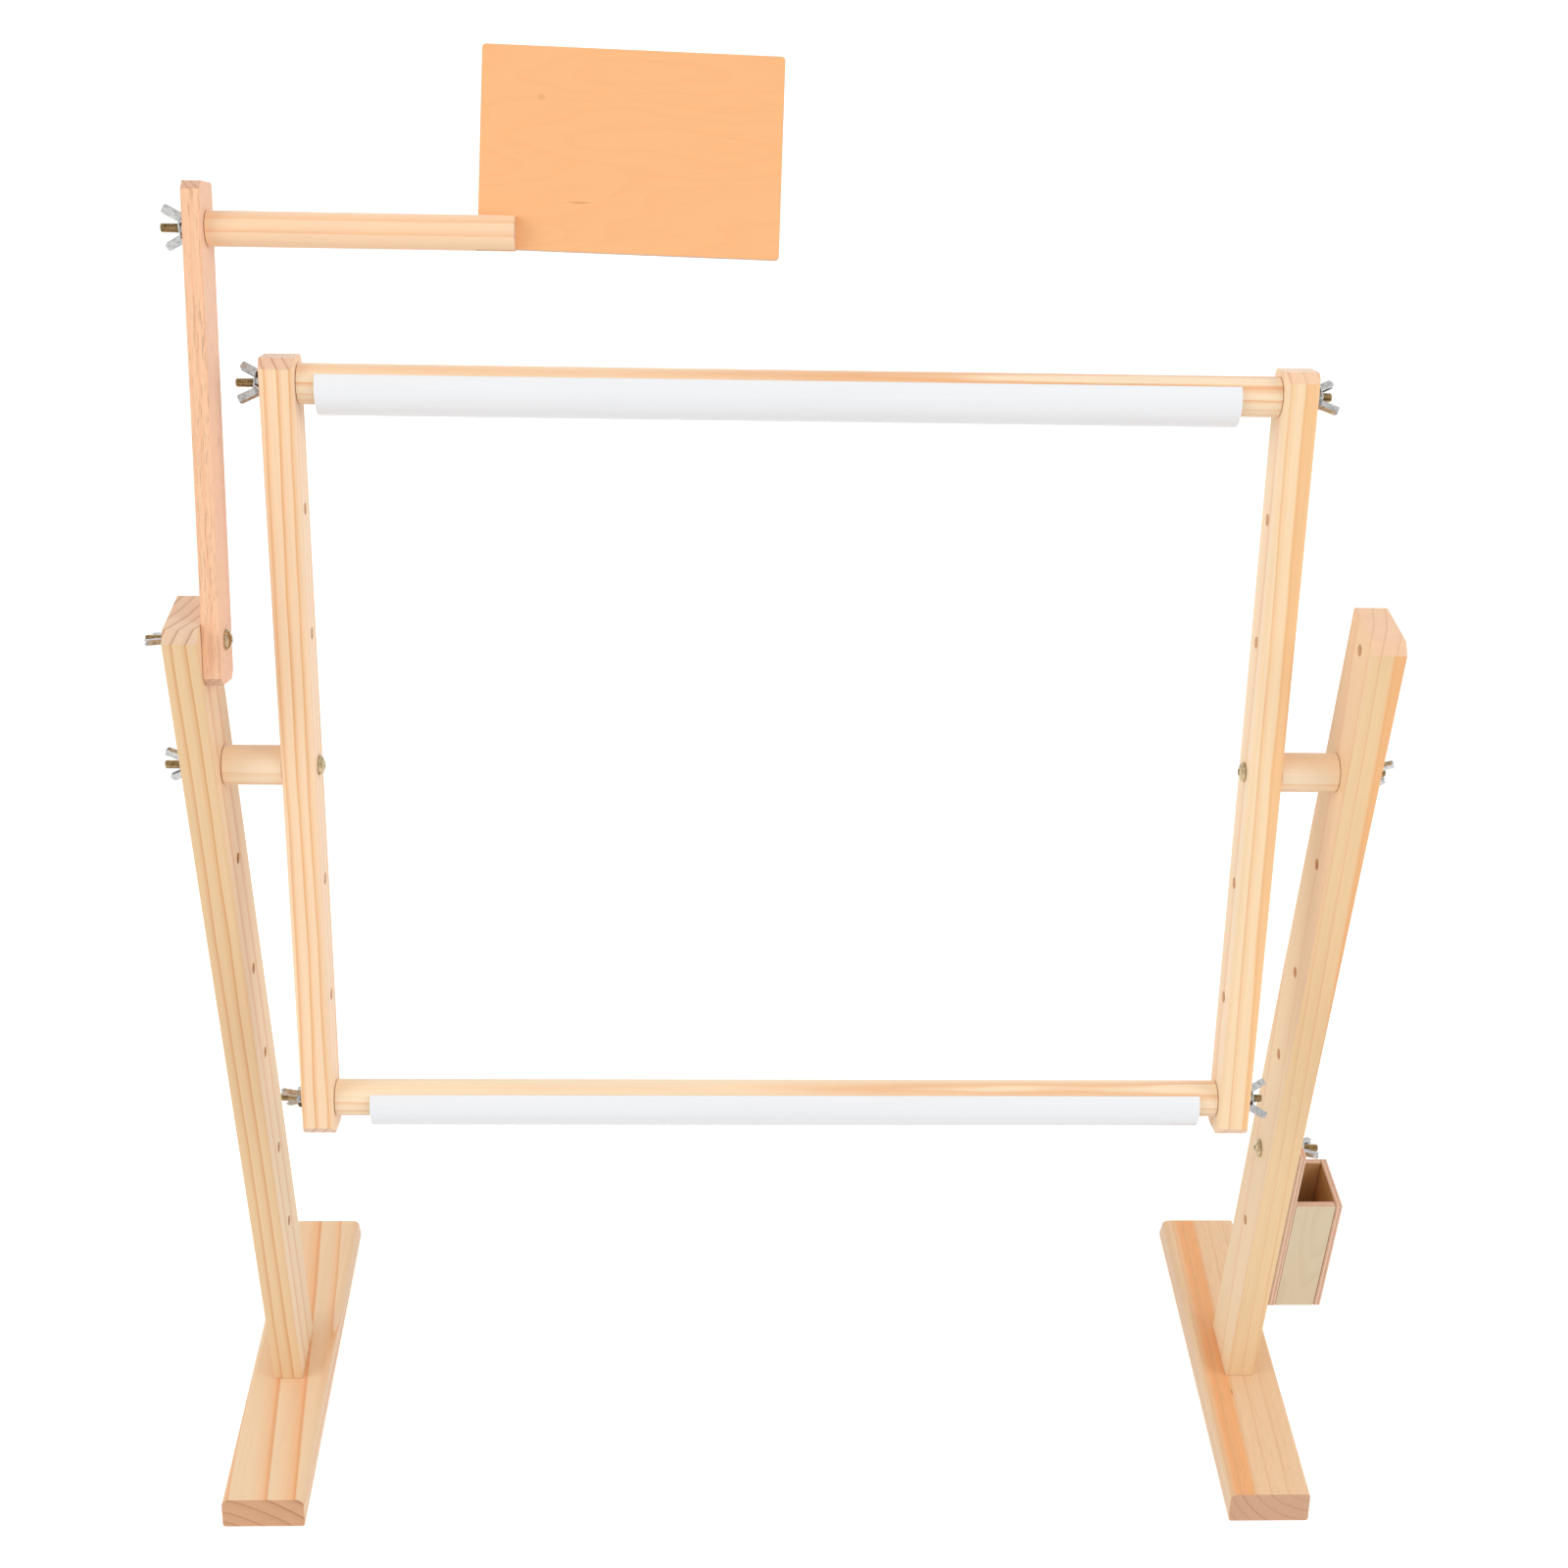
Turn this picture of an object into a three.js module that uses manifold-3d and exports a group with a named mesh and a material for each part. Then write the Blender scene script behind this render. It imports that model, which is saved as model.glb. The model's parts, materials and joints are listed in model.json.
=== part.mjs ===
import * as THREE from 'three';
import { mergeVertices } from 'three/addons/utils/BufferGeometryUtils.js';
import Module from 'manifold-3d';

// Embroidery frame on a floor stand. Two feet carry two uprights, a tilting frame with two fabric rollers
// hangs between them, an arm holds a pattern board and a small box holds tools.
// Lengths are in millimetres and angles in degrees.
// X runs along the rollers, Y from the worker to the back, and Z up from the floor.

// Space left between pieces that touch, and around what passes through a hole
const gap = 0.3;

// How far a cutting shape runs past the face that it cuts through
const overcut = 1;

// Rollers
const rollerDiameter = 25;
const rollerLength = 604.4;

// Side bars of the frame, measured along the bar from the pivot bolt
const barThickness = 21.5;
const barWidth = 32.3;
const topRollerAbovePivot = 245.3;
const bottomRollerBelowPivot = 238.4;
const barBeyondTopRoller = 16.7;
const barBeyondBottomRoller = 22.1;
const barEndChamfer = 6.5;
const barEdgeRadius = 3;
const spareHolesOnBar = [-161.5, -78.5, 88, 168];
const frameTilt = 14.7;

// Round spacers that hold the frame clear of the uprights
const spacerLength = 38.4;
const spacerDiameter = 26;

// Uprights, with the pivot's height above the floor and the other bolts' places above and below the pivot
const uprightDepth = 51;
const uprightThickness = 21.7;
const uprightChamfer = 6.7;
const pivotHeight = 574;
const armBoltAbovePivot = 92.5;
const uprightAboveArmBolt = 17;
const boxBoltBelowPivot = 333;
const spareHolesBelowPivot = [74, 167, 242, 407];

// Feet
const footLength = 297;
const footWidth = 60;
const footThickness = 22;
const footTopRadius = 5;
const rightFootOuterTopRadius = 2;
const footSoleRadius = 2;
const footEndRake = 6;
const uprightForward = 2.8;

// Wood screws that hold each upright from under its foot
const screwDiameter = 4.5;
const screwLength = 58;
const screwHeadDiameter = 9;
const screwHeadHeight = 3;
const screwHeadRim = 0.5;
const screwTipLength = 6;
const screwRecess = 1;
const screwSpacing = 26;

// Bolts, studs and wing nuts, all of one thread size
const threadDiameter = 6;
const boltPlay = 1;
const boltHeadDiameter = 13;
const boltHeadHeight = 3.8;
const crossRecessLength = 5.4;
const crossRecessWidth = 1.2;
const crossRecessDepth = 1.8;
const threadEndChamfer = 0.8;
const threadBeyondWood = 16.3;
const rightThreadBeyondWood = 11.5;
const studInWood = 25;

// Wing nuts, stamped from sheet: a strip arches over the thread's collar, touches the wood on both sides
// and rises again as two channels that are open towards the thread
const nutSheet = 1;
const nutCrownHeight = 4.5;
const nutFootRadius = 7.2;
const nutHubWidth = 11;
const nutCollarLength = 3.5;
const nutLip = 1.4;
const wingLean = 30;
const wingLength = 14.2;
const wingDepth = 5;
const wingThickness = 3.4;
const wingTipCut = 0.9;

// How far each wing nut happens to be turned, from wings upright
const nutTurn = {
  left_top_roller: 142,
  right_top_roller: 126,
  left_bottom_roller: 45,
  right_bottom_roller: 150,
  left_pivot: 12,
  right_pivot: 28,
  arm: 72,
  pattern_dowel: 29,
  box: 76,
};

// Snap-on clips that grip the fabric on the rollers
const clipPlay = 2;
const clipWall = 1.8;
const clipMouthAngle = 97;
const clipShorterThanRoller = 37.4;
const topClipShift = -7.2;
const bottomClipShift = 5.5;

// Arm that carries the pattern board, measured along the arm from its bolt
const armWidth = 33.2;
const armThickness = 11.2;
const armBelowBolt = 27;
const dowelAboveBolt = 248;
const armAboveDowel = 27;
const armCornerCut = 5;
const armTopBackCut = 2;
const armLean = 20;

// Dowel and board
const dowelDiameter = 21;
const dowelLength = 183;
const boardWidth = 181;
const boardHeight = 120.5;
const boardThickness = 3;
const boardCornerRadius = 2.5;
const boardInKerf = 22.9;
const boardBelowAxis = 9.2;
const boardLean = 29.5;
const boardDroop = 1.4;

// Tool box: a tall plate against the upright, three more walls and a floor
const plyThickness = 5;
const boxWidth = 40.3;
const boxWallHeight = 105;
const boxPlateAboveBolt = 14;
const boxRimBelowBolt = 35;

// Fineness of round shapes
const rodSides = 48;
const smallSides = 24;
const arcSteps = 6;
const holeSteps = 12;

const boltHoleDiameter = threadDiameter + 2 * boltPlay;

// Heights above the floor
const armBoltHeight = pivotHeight + armBoltAbovePivot;
const boxBoltHeight = pivotHeight - boxBoltBelowPivot;
const uprightTop = armBoltHeight + uprightAboveArmBolt;

// Places along X, worked outwards from the middle
const barInner = rollerLength / 2 + gap;
const barOuter = barInner + barThickness;
const uprightInner = barOuter + gap + spacerLength + gap;
const uprightOuter = uprightInner + uprightThickness;
const uprightMiddle = (uprightInner + uprightOuter) / 2;

const xAxis = new THREE.Vector3(1, 0, 0);
const yAxis = new THREE.Vector3(0, 1, 0);
const zAxis = new THREE.Vector3(0, 0, 1);
const radians = THREE.MathUtils.degToRad;

const finish = (colour, roughness, metalness) => ({ color: colour, roughness, metalness });
const finishes = {
  pine: finish('#f3cf9c', 0.62, 0),
  beech: finish('#f0c3a0', 0.6, 0),
  orangePly: finish('#fab97c', 0.58, 0),
  birchPly: finish('#dcc8a4', 0.66, 0),
  whitePlastic: finish('#f2f3f5', 0.35, 0),
  zinc: finish('#c3c6c8', 0.32, 1),
  yellowZinc: finish('#c8a55c', 0.35, 1),
};

function piece(name, geometry, look) {
  const material = new THREE.MeshStandardMaterial(finishes[look]);
  const mesh = new THREE.Mesh(geometry, material);
  mesh.name = name;
  return mesh;
}

// Booleans

const wasm = await Module();
wasm.setup();

function toSolid(geometry) {
  const bare = geometry.clone();
  bare.deleteAttribute('normal');
  bare.deleteAttribute('uv');
  const merged = mergeVertices(bare);
  const vertProperties = new Float32Array(merged.attributes.position.array);
  const triVerts = new Uint32Array(merged.index.array);
  return new wasm.Manifold(new wasm.Mesh({ numProp: 3, vertProperties, triVerts }));
}

function toGeometry(solid) {
  const mesh = solid.getMesh();
  const geometry = new THREE.BufferGeometry();
  geometry.setAttribute('position', new THREE.BufferAttribute(mesh.vertProperties, 3));
  geometry.setIndex(new THREE.BufferAttribute(mesh.triVerts, 1));
  geometry.computeVertexNormals();
  return geometry;
}

const cut = (geometry, ...tools) => toGeometry(
  tools.reduce((solid, tool) => solid.subtract(toSolid(tool)), toSolid(geometry)),
);
const join = (geometry, ...others) => toGeometry(
  others.reduce((solid, other) => solid.add(toSolid(other)), toSolid(geometry)),
);
const common = (geometry, other) => toGeometry(toSolid(geometry).intersect(toSolid(other)));

// Shapes

// Extrudes an outline drawn in (Y, Z) by a thickness along X, from x = 0
function plateAlongX(outline, thickness) {
  const settings = { depth: thickness, bevelEnabled: false, curveSegments: holeSteps };
  const geometry = new THREE.ExtrudeGeometry(outline, settings);
  return geometry.applyMatrix4(new THREE.Matrix4().makeBasis(yAxis, zAxis, xAxis));
}

// Extrudes an outline drawn in (X, Z) by a thickness along Y, centred on y = 0
function plateAlongY(outline, thickness, steps = arcSteps) {
  const settings = { depth: thickness, bevelEnabled: false, curveSegments: steps };
  const geometry = new THREE.ExtrudeGeometry(outline, settings);
  geometry.translate(0, 0, -thickness / 2);
  return geometry.applyMatrix4(new THREE.Matrix4().makeBasis(xAxis, zAxis, yAxis.clone().negate()));
}

// Extrudes an outline drawn in (X, Y) along Z, from one height to another
function post(outline, bottom, top) {
  const settings = { depth: top - bottom, bevelEnabled: false, curveSegments: arcSteps };
  return new THREE.ExtrudeGeometry(outline, settings).translate(0, 0, bottom);
}

// Rectangle in (Y, Z), centred on y = 0, with any of its corners cut off at 45 degrees
function cutRectangle(depth, bottom, top, cuts) {
  const half = depth / 2;
  const corners = [
    { y: -half, z: bottom, arrive: [0, -1], leave: [1, 0], size: cuts.bottomFront ?? 0 },
    { y: half, z: bottom, arrive: [1, 0], leave: [0, 1], size: cuts.bottomBack ?? 0 },
    { y: half, z: top, arrive: [0, 1], leave: [-1, 0], size: cuts.topBack ?? 0 },
    { y: -half, z: top, arrive: [-1, 0], leave: [0, -1], size: cuts.topFront ?? 0 },
  ];
  const points = [];
  for (const { y, z, arrive, leave, size } of corners) {
    points.push(new THREE.Vector2(y - arrive[0] * size, z - arrive[1] * size));
    if (size > 0) {
      points.push(new THREE.Vector2(y + leave[0] * size, z + leave[1] * size));
    }
  }
  return new THREE.Shape(points);
}

function drill(outline, heights, diameter) {
  for (const height of heights) {
    const hole = new THREE.Path();
    hole.absarc(0, height, diameter / 2, 0, 2 * Math.PI, true);
    outline.holes.push(hole);
  }
  return outline;
}

// Rectangle with rounded corners, from (left, bottom) to (right, top), of which the top right one may differ
function roundedRectangle(left, bottom, right, top, bottomRadius, topRadius, topRightRadius = topRadius) {
  const outline = new THREE.Shape();
  outline.absarc(right - bottomRadius, bottom + bottomRadius, bottomRadius, -Math.PI / 2, 0, false);
  outline.absarc(right - topRightRadius, top - topRightRadius, topRightRadius, 0, Math.PI / 2, false);
  outline.absarc(left + topRadius, top - topRadius, topRadius, Math.PI / 2, Math.PI, false);
  outline.absarc(left + bottomRadius, bottom + bottomRadius, bottomRadius, Math.PI, 1.5 * Math.PI, false);
  outline.closePath();
  return outline;
}

// Turns a profile of [radius, place along the axis] pairs round the X axis
function turnedAlongX(profile, sides) {
  const points = profile.map(([radius, along]) => new THREE.Vector2(radius, along));
  return new THREE.LatheGeometry(points, sides).rotateZ(-Math.PI / 2);
}

// Round bar along X from one place to another
function rod(diameter, from, to, sides) {
  const radius = diameter / 2;
  return turnedAlongX([[0, from], [radius, from], [radius, to], [0, to]], sides);
}

// Feet and uprights

// Countersunk screw pointing up from the given height, or with a clearance added, the shape of its hole
function screwShape(bottom, clearance) {
  const headRadius = screwHeadDiameter / 2 + clearance;
  const shankRadius = screwDiameter / 2 + clearance;
  const tip = screwRecess + screwLength + clearance;
  const points = [
    new THREE.Vector2(0, bottom),
    new THREE.Vector2(headRadius, bottom),
    new THREE.Vector2(headRadius, screwRecess + screwHeadRim),
    new THREE.Vector2(shankRadius, screwRecess + screwHeadHeight),
    new THREE.Vector2(shankRadius, tip - screwTipLength),
    new THREE.Vector2(0, tip),
  ];
  return new THREE.LatheGeometry(points, smallSides).rotateX(Math.PI / 2);
}

const screwPlaces = [-screwSpacing / 2, screwSpacing / 2];
const screwHoles = () => screwPlaces.map((y) => screwShape(-overcut, gap).translate(0, y, 0));

function foot(side) {
  const half = footWidth / 2;
  const outer = side === 'right' ? rightFootOuterTopRadius : footTopRadius;
  const section = roundedRectangle(-half, 0, half, footThickness, footSoleRadius, footTopRadius, outer);
  const front = uprightForward - footLength / 2;
  const back = uprightForward + footLength / 2;
  const profile = new THREE.Shape([
    new THREE.Vector2(front, 0),
    new THREE.Vector2(back, 0),
    new THREE.Vector2(back - footEndRake, footThickness),
    new THREE.Vector2(front + footEndRake, footThickness),
  ]);
  const length = plateAlongY(section, footLength).translate(0, uprightForward, 0);
  const width = plateAlongX(profile, footWidth).translate(-half, 0, 0);
  return piece(`${side}_foot`, cut(common(length, width), ...screwHoles()), 'pine');
}

function upright(side) {
  const outline = cutRectangle(uprightDepth, footThickness + gap, uprightTop, { topFront: uprightChamfer });
  const spareHeights = spareHolesBelowPivot.map((below) => pivotHeight - below);
  drill(outline, [...spareHeights, boxBoltHeight, pivotHeight, armBoltHeight], boltHoleDiameter);
  const blank = plateAlongX(outline, uprightThickness).translate(-uprightThickness / 2, 0, 0);
  return piece(`${side}_upright`, cut(blank, ...screwHoles()), 'pine');
}

function footAssembly(side, sign) {
  const group = new THREE.Group();
  group.position.x = sign * uprightMiddle;
  group.add(foot(side), upright(side));
  screwPlaces.forEach((y, index) => {
    const name = `${side}_foot_${index === 0 ? 'front' : 'rear'}_screw`;
    const screw = piece(name, screwShape(screwRecess, 0), 'zinc');
    screw.position.y = y;
    group.add(screw);
  });
  return group;
}

// Bolts, studs and wing nuts: each lies along X and points away from the middle of the stand

// Domed bolt whose head rests at x = 0 and whose shank reaches to the given length
function boltShape(length) {
  const headRadius = boltHeadDiameter / 2;
  const shankRadius = threadDiameter / 2;
  const profile = [];
  for (let step = 0; step <= arcSteps; step += 1) {
    const angle = (step / arcSteps) * (Math.PI / 2);
    profile.push([headRadius * Math.sin(angle), -boltHeadHeight * Math.cos(angle)]);
  }
  profile.push([shankRadius, 0]);
  profile.push([shankRadius, length - threadEndChamfer]);
  profile.push([shankRadius - threadEndChamfer, length]);
  profile.push([0, length]);
  const slot = new THREE.BoxGeometry(2 * crossRecessDepth, crossRecessLength, crossRecessWidth);
  slot.translate(-boltHeadHeight, 0, 0);
  const crossSlot = slot.clone().rotateX(Math.PI / 2);
  return cut(turnedAlongX(profile, smallSides), slot, crossSlot);
}

// Threaded stud that sits in a round wooden piece ending at x = 0 and stands out by the given length
function studShape(length) {
  const radius = threadDiameter / 2;
  return turnedAlongX([
    [0, -studInWood],
    [radius, -studInWood],
    [radius, length - threadEndChamfer],
    [radius - threadEndChamfer, length],
    [0, length],
  ], smallSides);
}

const studHole = () => rod(threadDiameter + 2 * gap, -studInWood - gap, overcut, smallSides);

// Outline of a bent sheet: one face follows the points, and the other lies on their left by the thickness
function sheetOutline(points, thickness) {
  const sides = points.slice(1).map((point, index) => {
    const way = point.clone().sub(points[index]).normalize();
    return new THREE.Vector2(-way.y, way.x);
  });
  const otherFace = points.map((point, index) => {
    const before = sides[Math.max(index - 1, 0)];
    const after = sides[Math.min(index, sides.length - 1)];
    const corner = before.clone().add(after);
    return point.clone().addScaledVector(corner, (2 * thickness) / corner.lengthSq());
  });
  return new THREE.Shape([...points, ...otherFace.reverse()]);
}

// Stamped wing nut that rests at x = 0, wings upright
function wingNutShape() {
  const lean = radians(wingLean);
  const along = new THREE.Vector2(Math.cos(lean), Math.sin(lean));
  const inward = new THREE.Vector2(Math.sin(lean), -Math.cos(lean));
  const from = (point, outwards, inwards) => point.clone()
    .addScaledVector(along, outwards)
    .addScaledVector(inward, inwards);

  const boreDiameter = threadDiameter + 2 * gap;
  const collarRadius = boreDiameter / 2 + nutSheet;
  const foot = new THREE.Vector2(0, nutFootRadius);
  const shoulder = new THREE.Vector2(nutCrownHeight - nutSheet, collarRadius);
  const mirrored = (point) => new THREE.Vector2(point.x, -point.y);
  const half = [from(foot, nutLip, 0), foot, shoulder];
  const arch = sheetOutline([...half, ...half.map(mirrored).reverse()], nutSheet);
  const hub = plateAlongY(arch, nutHubWidth);

  const outerTip = from(foot, wingLength, 0);
  const innerTip = from(outerTip, 0, wingDepth);
  const toCrown = (innerTip.x - nutCrownHeight) / along.x;
  const web = sheetOutline([from(foot, nutSheet / 2, 0), from(outerTip, -wingTipCut, 0)], -nutSheet);
  const side = new THREE.Shape([
    from(foot, nutSheet, 0),
    from(outerTip, -wingTipCut, 0),
    from(outerTip, 0, wingTipCut),
    from(innerTip, 0, -wingTipCut),
    from(innerTip, -wingTipCut, 0),
    from(innerTip, -toCrown, 0),
  ]);
  const fromMiddle = (wingThickness - nutSheet) / 2;
  const wing = [
    plateAlongY(web, wingThickness),
    plateAlongY(side, nutSheet).translate(0, -fromMiddle, 0),
    plateAlongY(side, nutSheet).translate(0, fromMiddle, 0),
  ];
  const otherWing = wing.map((plate) => plate.clone().rotateX(Math.PI));

  const collar = rod(2 * collarRadius, nutCrownHeight - nutCollarLength, nutCrownHeight, smallSides);
  const bore = rod(boreDiameter, -overcut, nutCrownHeight + overcut, smallSides);
  return cut(join(hub, collar, ...wing, ...otherWing), bore);
}

// Sets a piece made along X on the left or right half of the stand, at a place along X from the middle
function place(mesh, sign, x, turn = 0) {
  mesh.position.x = sign * x;
  mesh.rotation.set(radians(turn), 0, sign < 0 ? Math.PI : 0);
  return mesh;
}

const wingNut = (name, sign, seat, turn) => place(
  piece(`${name}_wing_nut`, wingNutShape(), 'zinc'),
  sign,
  seat + gap,
  turn,
);

// Tilting frame: its middle is on the pivot axis and its bars stand along Z before it is tilted

function sideBar(side, sign) {
  const ends = {
    bottomFront: barEndChamfer,
    bottomBack: barEndChamfer,
    topBack: barEndChamfer,
    topFront: barEndChamfer,
  };
  const bottom = -(bottomRollerBelowPivot + barBeyondBottomRoller);
  const top = topRollerAbovePivot + barBeyondTopRoller;
  const outline = cutRectangle(barWidth, bottom, top, ends);
  const heights = [...spareHolesOnBar, 0, topRollerAbovePivot, -bottomRollerBelowPivot];
  drill(outline, heights, boltHoleDiameter);
  const half = barWidth / 2;
  const section = roundedRectangle(0, -half, barThickness, half, barEdgeRadius, barEdgeRadius);
  const bar = common(plateAlongX(outline, barThickness), post(section, bottom, top));
  const start = sign > 0 ? barInner : -barOuter;
  return piece(`${side}_frame_bar`, bar.translate(start, 0, 0), 'pine');
}

function roller(name) {
  const half = rollerLength / 2;
  const leftHole = studHole().rotateZ(Math.PI).translate(-half, 0, 0);
  const rightHole = studHole().translate(half, 0, 0);
  const blank = rod(rollerDiameter, -half, half, rodSides);
  return piece(`${name}_roller`, cut(blank, leftHole, rightHole), 'pine');
}

// Clip with its mouth upwards; it hangs where both of its lips rest on the roller
function fabricClip(name, shift) {
  const length = rollerLength - clipShorterThanRoller;
  const inner = rollerDiameter / 2 + clipPlay;
  const outer = inner + clipWall;
  const halfMouth = radians(clipMouthAngle / 2);
  const lipAcross = inner * Math.sin(halfMouth);
  const lipReach = rollerDiameter / 2 + gap;
  const drop = inner * Math.cos(halfMouth) - Math.sqrt(lipReach ** 2 - lipAcross ** 2);
  const start = Math.PI / 2 + halfMouth;
  const end = Math.PI / 2 - halfMouth + 2 * Math.PI;
  const outline = new THREE.Shape();
  outline.absarc(0, -drop, outer, start, end, false);
  outline.absarc(0, -drop, inner, end, start, true);
  outline.closePath();
  const geometry = plateAlongX(outline, length).translate(shift - length / 2, 0, 0);
  return piece(`${name}_fabric_clip`, geometry, 'whitePlastic');
}

function rollerAssembly(name, height, clipShift) {
  const group = new THREE.Group();
  group.position.z = height;
  group.add(roller(name), fabricClip(name, clipShift));
  for (const [side, sign] of [['left', -1], ['right', 1]]) {
    const studLength = gap + barThickness + (sign > 0 ? rightThreadBeyondWood : threadBeyondWood);
    const stud = piece(`${side}_${name}_roller_stud`, studShape(studLength), 'yellowZinc');
    group.add(place(stud, sign, rollerLength / 2));
    const nut = `${side}_${name}_roller`;
    group.add(wingNut(nut, sign, barOuter, nutTurn[nut]));
  }
  return group;
}

function tiltingFrame() {
  const group = new THREE.Group();
  group.position.z = pivotHeight;
  group.rotation.x = -radians(frameTilt);
  group.add(sideBar('left', -1), sideBar('right', 1));
  group.add(rollerAssembly('top', topRollerAbovePivot, topClipShift));
  group.add(rollerAssembly('bottom', -bottomRollerBelowPivot, bottomClipShift));
  return group;
}

// Pivot: bolt from inside the bar, through the spacer and the upright, to a wing nut outside
function pivot(side, sign) {
  const group = new THREE.Group();
  group.position.z = pivotHeight;
  const start = barOuter + gap;
  const blank = rod(spacerDiameter, start, start + spacerLength, rodSides);
  const bore = rod(boltHoleDiameter, start - overcut, start + spacerLength + overcut, smallSides);
  group.add(place(piece(`${side}_pivot_spacer`, cut(blank, bore), 'pine'), sign, 0));
  const head = barInner - gap;
  const threadEnd = uprightOuter + (sign > 0 ? rightThreadBeyondWood : threadBeyondWood);
  const bolt = piece(`${side}_pivot_bolt`, boltShape(threadEnd - head), 'yellowZinc');
  group.add(place(bolt, sign, head));
  group.add(wingNut(`${side}_pivot`, sign, uprightOuter, nutTurn[`${side}_pivot`]));
  return group;
}

// Pattern arm, dowel and board

const armOuter = uprightInner - gap;
const armInner = armOuter - armThickness;

function patternArm() {
  const cuts = {
    bottomFront: armCornerCut,
    bottomBack: armCornerCut,
    topBack: armTopBackCut,
    topFront: armCornerCut,
  };
  const outline = cutRectangle(armWidth, -armBelowBolt, dowelAboveBolt + armAboveDowel, cuts);
  drill(outline, [0, dowelAboveBolt], boltHoleDiameter);
  return piece('pattern_arm', plateAlongX(outline, armThickness).translate(-armOuter, 0, 0), 'beech');
}

// Dowel along X with a saw kerf in its free end for the board
function dowelAndBoard() {
  const group = new THREE.Group();
  group.position.z = dowelAboveBolt;
  group.rotation.x = -radians(boardLean - armLean);
  const start = -armInner + gap;
  const end = start + dowelLength;
  const boardStart = end - boardInKerf;
  const kerfLength = gap + boardInKerf + overcut;
  const kerf = new THREE.BoxGeometry(kerfLength, boardThickness + 2 * gap, dowelDiameter + 2 * overcut);
  kerf.translate(boardStart - gap + kerfLength / 2, 0, 0);
  const hole = studHole().rotateZ(Math.PI).translate(start, 0, 0);
  const blank = rod(dowelDiameter, start, end, rodSides);
  group.add(piece('pattern_dowel', cut(blank, hole, kerf), 'pine'));

  const radius = boardCornerRadius;
  const board = piece(
    'pattern_board',
    plateAlongY(roundedRectangle(0, 0, boardWidth, boardHeight, radius, radius), boardThickness),
    'orangePly',
  );
  board.position.set(boardStart, 0, -boardBelowAxis);
  board.rotation.y = radians(boardDroop);
  group.add(board);

  const stud = piece('pattern_dowel_stud', studShape(gap + armThickness + threadBeyondWood), 'yellowZinc');
  group.add(place(stud, -1, -start));
  group.add(wingNut('pattern_dowel', -1, armOuter, nutTurn.pattern_dowel));
  return group;
}

function armAssembly() {
  const lean = new THREE.Group();
  lean.rotation.x = -radians(armLean);
  lean.add(patternArm(), dowelAndBoard());
  const head = armInner - gap;
  const bolt = piece('arm_bolt', boltShape(uprightOuter + threadBeyondWood - head), 'yellowZinc');
  const group = new THREE.Group();
  group.position.z = armBoltHeight;
  group.add(lean, place(bolt, -1, head), wingNut('arm', -1, uprightOuter, nutTurn.arm));
  return group;
}

// Tool box, hung outside the right upright; heights here are measured from its bolt

function wall(name, width, depth, height, x, y, bottom) {
  const mesh = piece(name, new THREE.BoxGeometry(width, depth, height), 'birchPly');
  mesh.position.set(x, y, bottom + height / 2);
  return mesh;
}

function toolBox() {
  const group = new THREE.Group();
  group.position.z = boxBoltHeight;
  const bottom = -boxRimBelowBolt - boxWallHeight;
  const plateStart = uprightOuter + gap;
  const plateEnd = plateStart + plyThickness;
  const outline = drill(cutRectangle(uprightDepth, bottom, boxPlateAboveBolt, {}), [0], boltHoleDiameter);
  group.add(piece('box_plate', plateAlongX(outline, plyThickness).translate(plateStart, 0, 0), 'birchPly'));

  const boxEnd = plateStart + boxWidth;
  const outerStart = boxEnd - plyThickness;
  const between = outerStart - plateEnd - 2 * gap;
  const middle = (plateEnd + outerStart) / 2;
  const wallPlace = (uprightDepth - plyThickness) / 2;
  const inside = uprightDepth - 2 * plyThickness - 2 * gap;
  group.add(wall('box_front', between, plyThickness, boxWallHeight, middle, -wallPlace, bottom));
  group.add(wall('box_back', between, plyThickness, boxWallHeight, middle, wallPlace, bottom));
  group.add(wall('box_floor', between, inside, plyThickness, middle, 0, bottom));
  const outerMiddle = outerStart + plyThickness / 2;
  group.add(wall('box_outer_side', plyThickness, uprightDepth, boxWallHeight, outerMiddle, 0, bottom));

  const head = uprightInner - gap;
  const bolt = piece('box_bolt', boltShape(plateEnd + threadBeyondWood - head), 'yellowZinc');
  group.add(place(bolt, 1, head));
  group.add(wingNut('box', 1, plateEnd, nutTurn.box));
  return group;
}

const stand = new THREE.Group();
stand.add(footAssembly('left', -1), footAssembly('right', 1));
stand.add(pivot('left', -1), pivot('right', 1));
stand.add(tiltingFrame(), armAssembly(), toolBox());

// The origin is on the floor, under the middle of the whole stand's box
const extent = new THREE.Box3().setFromObject(stand, true);
const middle = extent.getCenter(new THREE.Vector3());
stand.position.set(-middle.x, -middle.y, 0);
stand.updateMatrixWorld(true);

export default stand;
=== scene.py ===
"""Looks of an embroidery frame on a floor stand: bare wood and plywood, zinc and white plastic.

Lengths are in metres, or in millimetres where a comment says so. Angles named as values are in
degrees, and turns are in radians. Places and tilts are read from the frame's own nodes.
"""
import json
import math

import bpy
from mathutils import Matrix, Vector


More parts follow.
